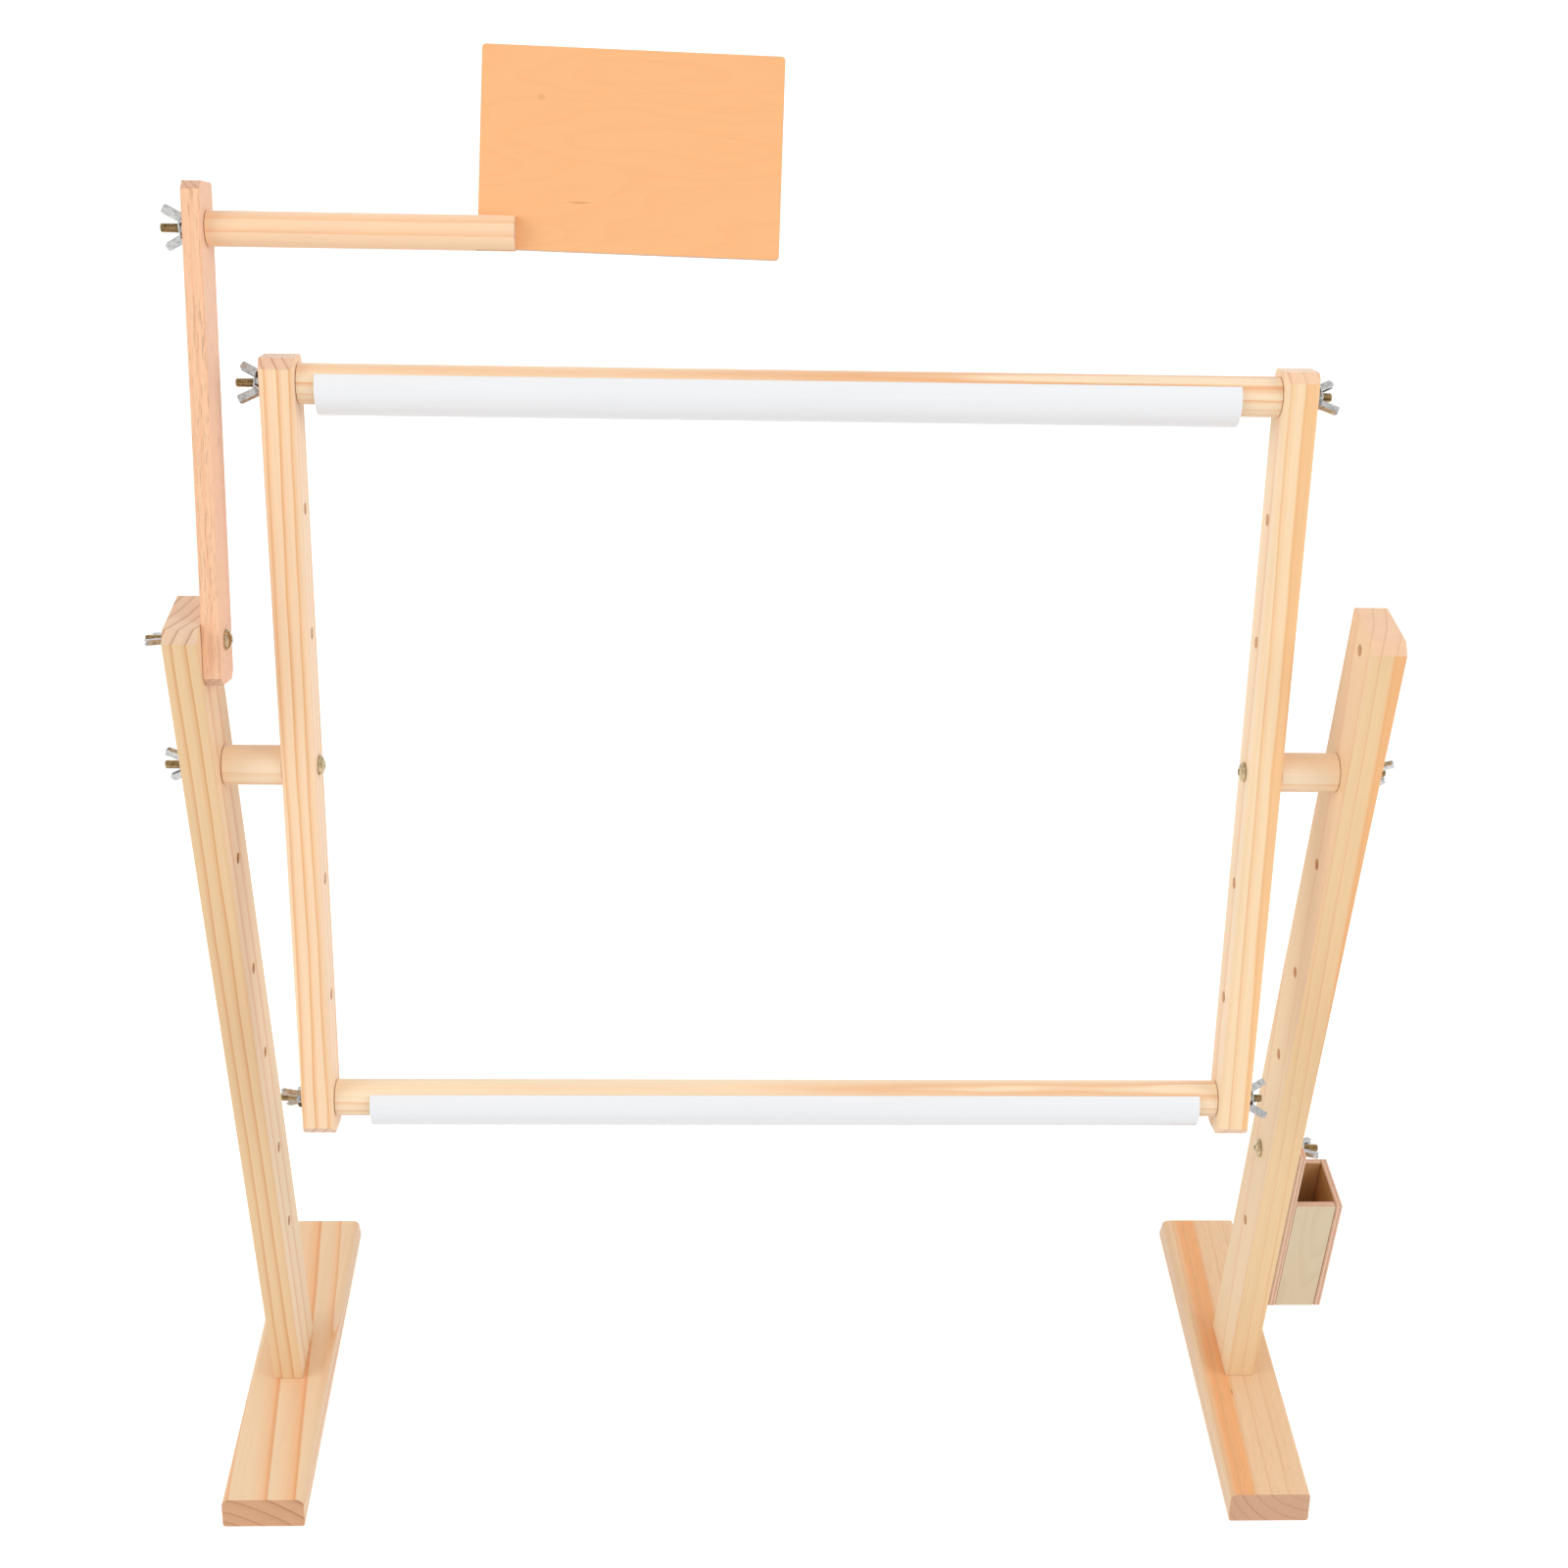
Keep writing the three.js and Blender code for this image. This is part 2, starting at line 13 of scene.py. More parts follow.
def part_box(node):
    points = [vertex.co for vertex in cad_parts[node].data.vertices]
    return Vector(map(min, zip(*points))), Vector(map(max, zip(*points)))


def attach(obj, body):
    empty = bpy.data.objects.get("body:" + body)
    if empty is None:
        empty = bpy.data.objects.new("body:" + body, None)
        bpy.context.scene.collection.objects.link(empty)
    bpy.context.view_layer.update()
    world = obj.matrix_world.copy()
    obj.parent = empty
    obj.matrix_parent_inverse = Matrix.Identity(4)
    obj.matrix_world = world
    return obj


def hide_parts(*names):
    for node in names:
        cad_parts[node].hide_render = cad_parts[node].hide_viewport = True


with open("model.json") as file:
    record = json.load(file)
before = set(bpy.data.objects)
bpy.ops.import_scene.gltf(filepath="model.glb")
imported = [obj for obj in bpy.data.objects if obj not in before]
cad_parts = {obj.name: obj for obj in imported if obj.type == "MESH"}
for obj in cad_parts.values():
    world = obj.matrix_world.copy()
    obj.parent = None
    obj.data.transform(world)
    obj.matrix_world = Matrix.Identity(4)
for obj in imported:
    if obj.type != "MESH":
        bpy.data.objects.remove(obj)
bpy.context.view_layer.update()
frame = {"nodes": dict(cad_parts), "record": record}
nodes = frame["nodes"]

MM = 0.001


# Camera, light and floor

CAMERA_PLACE = (-0.0623, -1.1604, 1.3162)
CAMERA_YAW = 2.52
CAMERA_PITCH = 33.06
CAMERA_ROLL = 1.78
CAMERA_LENS = 48.341
CAMERA_SENSOR = 36
CAMERA_NEAR = 0.05

DOME_STRENGTH = 0.74
LAMP_PLACES = {"left_lamp": (-2.3, -0.9, 1.9), "right_lamp": (2.3, -0.9, 1.9)}
LAMP_TARGET = (0.0, 0.0, 0.9)
LAMP_SIZE = 1.6
LAMP_POWER = 22.0
FLOOR_SIZE = 16.0
FLOOR_DROP = 0.2 * MM
FLOOR_COLOUR = (0.86, 0.86, 0.86, 1.0)
FLOOR_GLOW = 0.5


def set_view():
    bpy.context.scene.view_settings.view_transform = "Standard"


def add_camera():
    camera = bpy.data.objects.new("camera", bpy.data.cameras.new("camera"))
    camera.data.lens = CAMERA_LENS
    camera.data.sensor_width = CAMERA_SENSOR
    camera.data.clip_start = CAMERA_NEAR
    turn = Matrix.Rotation(math.radians(-CAMERA_YAW), 4, "Z")
    turn = turn @ Matrix.Rotation(math.radians(90 - CAMERA_PITCH), 4, "X")
    turn = turn @ Matrix.Rotation(math.radians(CAMERA_ROLL), 4, "Z")
    camera.matrix_world = Matrix.Translation(CAMERA_PLACE) @ turn
    bpy.context.scene.collection.objects.link(camera)
    bpy.context.scene.camera = camera


def join(tree, source, target):
    tree.links.new(source, target)


def seen_directly(tree):
    """1 for camera, glossy and transmission rays, and 0 for the light that falls on things."""
    path = tree.nodes.new("ShaderNodeLightPath")
    largest = path.outputs["Is Camera Ray"]
    for name in ("Is Glossy Ray", "Is Transmission Ray"):
        either = tree.nodes.new("ShaderNodeMath")
        either.operation = "MAXIMUM"
        join(tree, largest, either.inputs[0])
        join(tree, path.outputs[name], either.inputs[1])
        largest = either.outputs[0]
    return largest


def add_world():
    world = bpy.data.worlds.new("studio")
    world.use_nodes = True
    tree = world.node_tree
    background = tree.nodes["Background"]
    background.inputs["Color"].default_value = (1, 1, 1, 1)
    strength = tree.nodes.new("ShaderNodeMapRange")
    strength.inputs["To Min"].default_value = DOME_STRENGTH
    strength.inputs["To Max"].default_value = 1.0
    join(tree, seen_directly(tree), strength.inputs["Value"])
    join(tree, strength.outputs["Result"], background.inputs["Strength"])
    bpy.context.scene.world = world


def add_lamp(name, place, target, size, power):
    data = bpy.data.lights.new(name, "AREA")
    data.shape = "SQUARE"
    data.size = size
    data.energy = power
    lamp = bpy.data.objects.new(name, data)
    lamp.location = place
    lamp.rotation_euler = (Vector(target) - Vector(place)).to_track_quat("-Z", "Y").to_euler()
    lamp.visible_camera = False
    lamp.visible_glossy = False
    bpy.context.scene.collection.objects.link(lamp)


def add_floor():
    half = FLOOR_SIZE / 2
    mesh = bpy.data.meshes.new("floor")
    corners = [(-half, -half), (half, -half), (half, half), (-half, half)]
    mesh.from_pydata([(x, y, -FLOOR_DROP) for x, y in corners], [], [(0, 1, 2, 3)])
    floor = bpy.data.objects.new("floor", mesh)
    material = bpy.data.materials.new("floor")
    material.use_nodes = True
    tree = material.node_tree
    tree.nodes.clear()
    diffuse = tree.nodes.new("ShaderNodeBsdfDiffuse")
    diffuse.inputs["Color"].default_value = FLOOR_COLOUR
    glow = tree.nodes.new("ShaderNodeEmission")
    strength = tree.nodes.new("ShaderNodeMapRange")
    strength.inputs["To Max"].default_value = FLOOR_GLOW
    join(tree, seen_directly(tree), strength.inputs["Value"])
    join(tree, strength.outputs["Result"], glow.inputs["Strength"])
    both = tree.nodes.new("ShaderNodeAddShader")
    join(tree, diffuse.outputs[0], both.inputs[0])
    join(tree, glow.outputs[0], both.inputs[1])
    output = tree.nodes.new("ShaderNodeOutputMaterial")
    join(tree, both.outputs[0], output.inputs["Surface"])
    mesh.materials.append(material)
    bpy.context.scene.collection.objects.link(floor)


# Places and angles in the frame


def centre(node):
    low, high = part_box(node)
    return (low + high) / 2


def lean(lower, upper):
    """Angle in radians by which the way from one place up to another leans back from upright."""
    way = upper - lower
    return math.atan2(way.y, way.z)


def sheet_normal(node):
    """Direction across a flat node, square to its largest face."""
    face = max(nodes[node].data.polygons, key=lambda polygon: polygon.area)
    return face.normal.copy()


body_of_node = {}
for body, members in frame["record"]["behaviour"]["bodies"].items():
    for member in members:
        body_of_node[member] = body

frame_tilt = lean(centre("bottom_roller"), centre("top_roller"))
arm_lean = lean(centre("arm_bolt"), centre("pattern_dowel_stud"))


# Shader nodes

PRINCIPLED = "Principled BSDF"


def colour(text):
    """Linear colour from an sRGB hex text such as '#f3cf9c'."""
    values = [int(text[i:i + 2], 16) / 255 for i in (1, 3, 5)]
    linear = [v / 12.92 if v <= 0.04045 else ((v + 0.055) / 1.055) ** 2.4 for v in values]
    return (*linear, 1.0)


class Shader:
    """A material's nodes, with short ways to add and join them."""

    def __init__(self, name):
        self.material = bpy.data.materials.new(name)
        self.material.use_nodes = True
        self.tree = self.material.node_tree
        self.surface = self.tree.nodes[PRINCIPLED]

    def put(self, socket, value):
        if isinstance(value, bpy.types.NodeSocket):
            self.tree.links.new(value, socket)
        else:
            socket.default_value = value

    def node(self, kind, inputs, **settings):
        made = self.tree.nodes.new("ShaderNode" + kind)
        for name, value in settings.items():
            setattr(made, name, value)
        for name, value in inputs.items():
            self.put(made.inputs[name], value)
        return made

    def math(self, operation, first, second=0.0, third=0.0):
        return self.node("Math", {0: first, 1: second, 2: third}, operation=operation).outputs[0]

    def vector(self, operation, first, second):
        return self.node("VectorMath", {0: first, 1: second}, operation=operation).outputs["Vector"]

    def along(self, first, second):
        """How far one vector reaches along another."""
        made = self.node("VectorMath", {0: first, 1: second}, operation="DOT_PRODUCT")
        return made.outputs["Value"]

    def coordinate(self, name):
        return self.node("TexCoord", {}).outputs[name]

    def local(self, middle, turn):
        """Places in millimetres from a middle, with Z along the grain."""
        made = self.node("Mapping", {"Vector": self.coordinate("Object")}, vector_type="TEXTURE")
        made.inputs["Location"].default_value = middle
        made.inputs["Rotation"].default_value = turn
        made.inputs["Scale"].default_value = (MM, MM, MM)
        return made.outputs["Vector"]

    def blend(self, factor, first, second, mode="MIX"):
        mix = self.node("Mix", {}, data_type="RGBA", blend_type=mode)
        self.put(mix.inputs["Factor"], factor)
        self.put(mix.inputs[6], first)
        self.put(mix.inputs[7], second)
        return mix.outputs[2]

    def between(self, value, low, high):
        """Carries 0 to 1 over to another range."""
        return self.math("MULTIPLY_ADD", value, high - low, low)

    def ramp(self, value, stops):
        """Number or colour that changes with a value: stops are (place, number or colour)."""
        node = self.node("ValToRGB", {"Fac": value})
        ramp = node.color_ramp
        while len(ramp.elements) < len(stops):
            ramp.elements.new(1.0)
        for element, (place, shade) in zip(ramp.elements, stops):
            element.position = place
            element.color = shade if isinstance(shade, tuple) else (shade, shade, shade, 1.0)
        return node.outputs["Color"]

    def noise(self, place, stretch, detail=2.0, roughness=0.5):
        """Clouds with the given count per millimetre, or per metre, along each axis."""
        inputs = {"Vector": self.vector("MULTIPLY", place, stretch), "Scale": 1.0}
        inputs.update({"Detail": detail, "Roughness": roughness})
        return self.node("TexNoise", inputs).outputs["Fac"]

    def shade(self, base, value, stops):
        """Multiplies a colour by a ramp."""
        return self.blend(1.0, base, self.ramp(value, stops), "MULTIPLY")

    def bump(self, height, distance, strength=1.0):
        made = self.node("Bump", {"Height": height, "Distance": distance, "Strength": strength})
        self.put(self.surface.inputs["Normal"], made.outputs["Normal"])

    def stain(self, base, local, place, reach, tint, amount):
        """Small stain round a place, both in the piece's own millimetres."""
        offset = self.vector("DIVIDE", self.vector("SUBTRACT", local, place), reach)
        far = self.node("VectorMath", {0: offset}, operation="LENGTH").outputs["Value"]
        strength = self.ramp(far, [(0.0, amount), (0.5, amount * 0.8), (1.0, 0.0)])
        return self.blend(strength, base, colour(tint))

    def finish(self, base, roughness, metallic=0.0):
        self.put(self.surface.inputs["Base Color"], base)
        self.put(self.surface.inputs["Roughness"], roughness)
        self.surface.inputs["Metallic"].default_value = metallic
        return self.material


# Wood

# Directions of the grain, as turns that carry the Z axis onto it
ALONG_X = (0.0, math.pi / 2, 0.0)
ALONG_Y = (-math.pi / 2, 0.0, 0.0)


def along_z(back=0.0):
    return (-back, 0.0, 0.0)


def grain_direction(turn):
    turned = Matrix.Rotation(turn[1], 3, "Y") @ Matrix.Rotation(turn[0], 3, "X")
    return tuple(turned @ Vector((0, 0, 1)))


# Growth rings, in millimetres: how far zones of colour may lie from a piece's marked winter line,
# that line's width and fade, and how far bends and wobble carry a ring off its circle
ZONE_REACH = 60.0
LINE_WIDTH = 1.2
LINE_FADE = 0.3
BEND_REACH = 8
WOBBLE_REACH = 1.6

# Rings differ in width and strength, but keep their place within so many rings of the marked line
RING_CHANGE = 0.9
RING_PACE = 0.35
STILL_RINGS = 1.5
WEAKEST_RING = 0.5

# Share of late wood and of winter lines that shows on end grain
END_LATE = 0.35
END_LINE = 0.75

# Counts per millimetre, twice across the grain and once along it
BENDS = (0.03, 0.03, 0.0045)
WOBBLE = (0.2, 0.2, 0.018)
STREAKS = (0.7, 0.7, 0.009)
FIBRES = (2.6, 2.6, 0.05)
PATCHES = (0.05, 0.05, 0.008)
PORES = (1.6, 1.6, 1.6)
DASHES = (2.4, 2.4, 0.1)

# How far one step of the seed moves a piece within these patterns, in millimetres
WOOD_SEED_STEP = (137, 71, 1000)

WOOD_SHEEN = 0.4
WOOD_SHEEN_ROUGHNESS = 0.4
WOOD_ROUGHNESS = (0.5, 0.66)
WOOD_RELIEF = 0.12 * MM

# Colours that a piece may leave as they are; each sets its own pale, dark and line
WOOD = {"warm": "#f8c48e", "end_pale": "#e6c19c", "end_dark": "#bf8b66"}


def beyond_line(shader, local, shifted, pith, drift, through, wander):
    """How much further from the tree's middle a place lies than the marked winter line."""
    bends = shader.math("SUBTRACT", shader.noise(shifted, BENDS), 0.5)
    wobble = shader.math("SUBTRACT", shader.noise(shifted, WOBBLE), 0.5)
    axes = shader.node("SeparateXYZ", {"Vector": local})
    x, y, z = (axes.outputs[i] for i in range(3))
    across_x = shader.math("SUBTRACT", x, shader.math("MULTIPLY_ADD", z, drift[0] / 1000, pith[0]))
    across_y = shader.math("SUBTRACT", y, shader.math("MULTIPLY_ADD", z, drift[1] / 1000, pith[1]))
    square_x = shader.math("MULTIPLY", across_x, across_x)
    radius = shader.math("SQRT", shader.math("MULTIPLY_ADD", across_y, across_y, square_x))
    bent = shader.math("MULTIPLY_ADD", bends, wander * BEND_REACH, radius)
    bent = shader.math("MULTIPLY_ADD", wobble, wander * WOBBLE_REACH, bent)
    return shader.math("SUBTRACT", bent, math.dist(pith, through))


def uneven_rings(shader, beyond, ring, seed):
    """Place from 0 to 1 within a ring, and that ring's strength."""
    slow = shader.math("MULTIPLY_ADD", beyond, RING_PACE / ring, seed)
    uneven = shader.node("TexNoise", {"W": slow, "Scale": 1.0}, noise_dimensions="1D")
    shift = shader.math("MULTIPLY_ADD", uneven.outputs["Fac"], RING_CHANGE, -RING_CHANGE / 2)
    away = shader.math("ABSOLUTE", shader.math("DIVIDE", beyond, STILL_RINGS * ring))
    away = shader.math("MINIMUM", away, 1.0)
    rings = shader.math("MULTIPLY_ADD", shift, away, shader.math("DIVIDE", beyond, ring))
    count = shader.math("ADD", shader.math("FLOOR", rings), seed)
    chance = shader.node("TexWhiteNoise", {"W": count}, noise_dimensions="1D")
    strength = shader.between(chance.outputs["Value"], WEAKEST_RING, 1.0)
    return shader.math("FRACT", rings), strength


def late_and_line(shader, along_ring, ring):
    """Late wood, which darkens slowly through a ring, and the winter line at its sharp end."""
    peak = 1 - LINE_FADE / ring
    begin = peak - LINE_WIDTH / ring
    late = shader.ramp(along_ring, [(0.0, 0.0), (0.5, 0.05), (0.8, 0.5), (peak, 1.0), (1.0, 0.0)])
    line = shader.ramp(along_ring, [(0.0, 0.0), (begin, 0.0), (peak, 1.0), (1.0, 0.0)])
    return late, line


def with_end_grain(shader, shifted, turn, side, end):
    """Porous end grain on faces cut across the grain, and the side's colour elsewhere."""
    facing = shader.along(shader.coordinate("Normal"), grain_direction(turn))
    facing = shader.math("ABSOLUTE", facing)
    cross = shader.ramp(facing, [(0.0, 0.0), (0.4, 0.0), (0.68, 1.0), (1.0, 1.0)])
    base = shader.blend(cross, side, end)
    pores = shader.noise(shifted, PORES, 3.0, 0.7)
    porous = shader.shade(base, pores, [(0.0, 0.8), (0.5, 1.0), (1.0, 1.08)])
    return shader.blend(cross, base, porous)


def wood(name, node, turn, look, pith, ring, through, drift=(0, 0), zones=((-1, 0.0), (1, 0.0)),
         contrast=1.0, lines=0.55, wander=1.0, flecks=0.0, stains=(), seed=0.0):
    """Planed wood with its growth rings in depth.

    turn carries Z onto the grain. Places are in millimetres from the piece's centre, across the
    grain: pith is the tree's middle, drift how far it moves along a metre, ring the mean width of
    a ring, and one winter line passes through the given place. zones are (millimetres beyond that
    line, share of warm colour).
    """
    shader = Shader(name)
    local = shader.local(centre(node), turn)
    shifted = shader.vector("ADD", local, tuple(seed * step for step in WOOD_SEED_STEP))
    beyond = beyond_line(shader, local, shifted, pith, drift, through, wander)
    along_ring, strength = uneven_rings(shader, beyond, ring, seed)
    late, line = late_and_line(shader, along_ring, ring)
    late = shader.math("MULTIPLY", late, shader.math("MULTIPLY", strength, contrast))
    crisp = shader.math("MULTIPLY", line, shader.math("MULTIPLY", strength, END_LINE))
    line = shader.math("MULTIPLY", line, shader.math("MULTIPLY", strength, lines))

    zone = shader.math("MULTIPLY_ADD", beyond, 0.5 / ZONE_REACH, 0.5)
    warm = shader.ramp(zone, [(0.5 + place * 0.5 / ZONE_REACH, amount) for place, amount in zones])
    side = shader.blend(warm, colour(look["pale"]), colour(look["warm"]))
    side = shader.blend(late, side, colour(look["dark"]))
    side = shader.blend(line, side, colour(look["line"]))
    end_late = shader.math("MULTIPLY_ADD", late, END_LATE, crisp)
    end = shader.blend(end_late, colour(look["end_pale"]), colour(look["end_dark"]))
    base = with_end_grain(shader, shifted, turn, side, end)

    streaks = shader.noise(shifted, STREAKS, 3.0, 0.6)
    fibres = shader.noise(shifted, FIBRES, 4.0, 0.6)
    patches = shader.noise(shifted, PATCHES, 2.0)
    base = shader.shade(base, streaks, [(0.0, 0.9), (0.38, 0.97), (0.55, 1.0), (1.0, 1.03)])
    base = shader.shade(base, fibres, [(0.0, 0.9), (0.42, 0.985), (0.6, 1.0), (1.0, 1.03)])
    base = shader.shade(base, patches, [(0.0, 0.94), (0.5, 1.0), (1.0, 1.04)])
    if flecks:
        dashes = shader.math("MULTIPLY_ADD", patches, 0.25, shader.noise(shifted, DASHES, 1.0))
        dark = 1.0 - flecks
        base = shader.shade(base, dashes, [(0.0, 1.0), (0.72, 1.0), (0.78, dark), (1.0, dark)])
    for place, reach, tint, amount in stains:
        base = shader.stain(base, local, place, reach, tint, amount)

    shader.bump(shader.math("MULTIPLY_ADD", late, 0.6, fibres), WOOD_RELIEF, 0.5)
    shader.surface.inputs["Sheen Weight"].default_value = WOOD_SHEEN
    shader.surface.inputs["Sheen Roughness"].default_value = WOOD_SHEEN_ROUGHNESS
    return shader.finish(base, shader.between(fibres, *WOOD_ROUGHNESS))


# Plywood

BOX_THICKNESS = 5 * MM
BOARD_THICKNESS = 3 * MM
BOX_LAYERS = 4
BOARD_LAYERS = 3
PLY_BOX = {
    "face": "#e2d2b4",
    "warm": "#dfc7a6",
    "figure": "#cfba96",
    # Brown tint multiplied onto faces that look into the box: painted shade, not the ply's own
    # colour
    "inside": "#f3d2ac",
    "layers": ("#f6d2b8", "#bc8664"),
}
PLY_BOARD = {
    "face": "#febf86",
    "warm": "#fdbb80",
    "figure": "#f8b378",
    "layers": ("#e2bda6", "#b18d7c"),
}

# Counts per millimetre, as for the wood, and how many loops the veneer's figure has
VENEER_HEIGHT = (0.022, 0.022, 0.0055)
VENEER_PATCHES = (0.02, 0.02, 0.008)
VENEER_FIBRES = (1.5, 1.5, 0.04)
RAGGED_EDGE = (0.5, 0.5, 0.3)
VENEER_LOOPS = 11.0
VENEER_FIGURE = 0.5
VENEER_SEED_STEP = (90, 50, 400)
PLY_ROUGHNESS = (0.54, 0.7)
PLY_RELIEF = 0.08 * MM


def veneer(shader, shifted, fibres, look):
    """Sliced veneer, whose rings show as long soft loops: the level lines of a slow height."""
    height = shader.noise(shifted, VENEER_HEIGHT, 2.0, 0.4)
    loops = shader.math("FRACT", shader.math("MULTIPLY", height, VENEER_LOOPS))
    figure = shader.ramp(loops, [(0.0, 0.15), (0.5, 0.35), (0.88, 0.8), (1.0, 0.15)])
    figure = shader.math("MULTIPLY", figure, VENEER_FIGURE)
    patches = shader.noise(shifted, VENEER_PATCHES, 2.0)
    face = shader.blend(patches, colour(look["face"]), colour(look["warm"]))
    face = shader.blend(figure, face, colour(look["figure"]))
    return shader.shade(face, fibres, [(0.0, 0.93), (0.45, 0.985), (0.6, 1.0), (1.0, 1.02)])


def painted_inside_shade(shader, face, inward, look):
    """The same face with a brown tint multiplied on where it looks inward: painted shade."""
    inside_shade_mask = shader.along(shader.coordinate("Normal"), inward)
    inside_shade_mask = shader.ramp(inside_shade_mask, [(0.0, 0.0), (0.5, 0.0), (0.7, 1.0), (1.0, 1.0)])
    shaded_face = shader.blend(1.0, face, colour(look["inside"]), "MULTIPLY")
    return shader.blend(inside_shade_mask, face, shaded_face)


def layer_lines(shader, shifted, depth, thickness, layers):
    """Brown of a sheet's edge: every other layer, with ragged dark glue lines between them."""
    layer = shader.math("MULTIPLY_ADD", depth, layers / (2 * thickness), layers / 4)
    layer = shader.math("FRACT", layer)
    ragged = shader.noise(shifted, RAGGED_EDGE, 3.0, 0.7)
    stops = [(0.0, 0.3), (0.44, 0.2), (0.5, 1.0), (0.56, 0.75), (0.94, 0.7), (1.0, 0.3)]
    return shader.math("MULTIPLY", shader.ramp(layer, stops), shader.between(ragged, 0.4, 1.4))


def plywood(name, node, turn, look, thickness, layers, stains=(), inward=None, seed=0.0):
    """Sheet with figured veneer, painted shade on the side that looks inward, and layered edges."""
    shader = Shader(name)
    middle = centre(node)
    local = shader.local(middle, turn)
    shifted = shader.vector("ADD", local, tuple(seed * step for step in VENEER_SEED_STEP))
    fibres = shader.noise(shifted, VENEER_FIBRES, 3.0, 0.6)
    face = veneer(shader, shifted, fibres, look)
    for place, reach, tint, amount in stains:
        face = shader.stain(face, local, place, reach, tint, amount)
    # Painted shade: faces that look into the box take a browner tint
    if inward is not None:
        face = painted_inside_shade(shader, face, inward, look)

    across = tuple(sheet_normal(node))
    from_middle = shader.vector("SUBTRACT", shader.coordinate("Object"), tuple(middle))
    depth = shader.along(from_middle, across)
    brown = layer_lines(shader, shifted, depth, thickness, layers)
    edge = shader.blend(brown, colour(look["layers"][0]), colour(look["layers"][1]))

    facing = shader.math("ABSOLUTE", shader.along(shader.coordinate("Normal"), across))
    flat = shader.ramp(facing, [(0.0, 0.0), (0.55, 0.0), (0.8, 1.0), (1.0, 1.0)])
    base = shader.blend(flat, edge, face)
    shader.bump(shader.math("ADD", fibres, brown), PLY_RELIEF, 0.4)
    return shader.finish(base, shader.between(fibres, *PLY_ROUGHNESS))


# Metal and plastic

# Counts per metre
METAL_CLOUDS = (420.0, 420.0, 420.0)
METAL_SPECKS = (1900.0, 1900.0, 1900.0)
DRAWN_LINES = (4.0, 300.0, 300.0)
PLASTIC_CLOUDS = (12.0, 60.0, 60.0)

METAL_RELIEF = 0.06 * MM
PLASTIC_RELIEF = 0.05 * MM
PLASTIC_GLOW_REACH = 2 * MM
PLASTIC_ROUGHNESS = 0.36


def metal(name, base, dark, rough):
    """Plated metal with a clouded, speckled tint."""
    shader = Shader(name)
    place = shader.coordinate("Object")
    clouds = shader.noise(place, METAL_CLOUDS, 3.0, 0.6)
    specks = shader.noise(place, METAL_SPECKS, 2.0, 0.7)
    mixed = shader.math("MULTIPLY_ADD", specks, 0.5, shader.math("MULTIPLY", clouds, 0.5))
    dull = shader.ramp(mixed, [(0.0, 1.0), (0.4, 0.8), (0.55, 0.15), (1.0, 0.0)])
    tint = shader.blend(dull, colour(base), colour(dark))
    shader.bump(mixed, METAL_RELIEF, 0.4)
    return shader.finish(tint, shader.between(clouds, rough - 0.08, rough + 0.1), 1.0)


def plastic(name):
    """White plastic with faint lines from its extrusion."""
    shader = Shader(name)
    place = shader.coordinate("Object")
    lines = shader.noise(place, DRAWN_LINES, 3.0, 0.6)
    clouds = shader.noise(place, PLASTIC_CLOUDS, 2.0)
    base = shader.blend(lines, colour("#eff0f2"), colour("#f4f5f7"))
    base = shader.shade(base, clouds, [(0.0, 0.97), (1.0, 1.01)])
    shader.bump(lines, PLASTIC_RELIEF, 0.2)
    shader.surface.inputs["Subsurface Weight"].default_value = 0.05
    shader.surface.inputs["Subsurface Radius"].default_value = (PLASTIC_GLOW_REACH,) * 3
    return shader.finish(base, PLASTIC_ROUGHNESS)


# Pieces that keep their shape from the frame, with their edges broken

FOOT_EDGE = 0.7 * MM
UPRIGHT_EDGE = 1.0 * MM
BAR_EDGE = 1.2 * MM
ROD_EDGE = 0.5 * MM
SPACER_EDGE = 0.4 * MM
ARM_EDGE = 0.8 * MM
SHEET_EDGE = 0.35 * MM
NUT_EDGE = 0.22 * MM
THIN_EDGE_STEPS = 2
SAME_POINT = 0.005 * MM
SAME_FACE_ANGLE = 0.5
EDGE_ANGLE = 30


def soften(node, width, segments=3):
    """Breaks a node's sharp edges by a small round."""
    piece = nodes[node]
    for polygon in piece.data.polygons:
        polygon.use_smooth = True
    weld = piece.modifiers.new("weld", "WELD")
    weld.merge_threshold = SAME_POINT
    flat = piece.modifiers.new("flat", "DECIMATE")
    flat.decimate_type = "DISSOLVE"
    flat.angle_limit = math.radians(SAME_FACE_ANGLE)
    bevel = piece.modifiers.new("edges", "BEVEL")
    bevel.width = width
    bevel.segments = segments
    bevel.limit_method = "ANGLE"
    bevel.angle_limit = math.radians(EDGE_ANGLE)
    bevel.miter_outer = "MITER_ARC"
    piece.modifiers.new("shading", "WEIGHTED_NORMAL")


def dress(node, material):
    mesh = nodes[node].data
    mesh.materials.clear()
    mesh.materials.append(material)


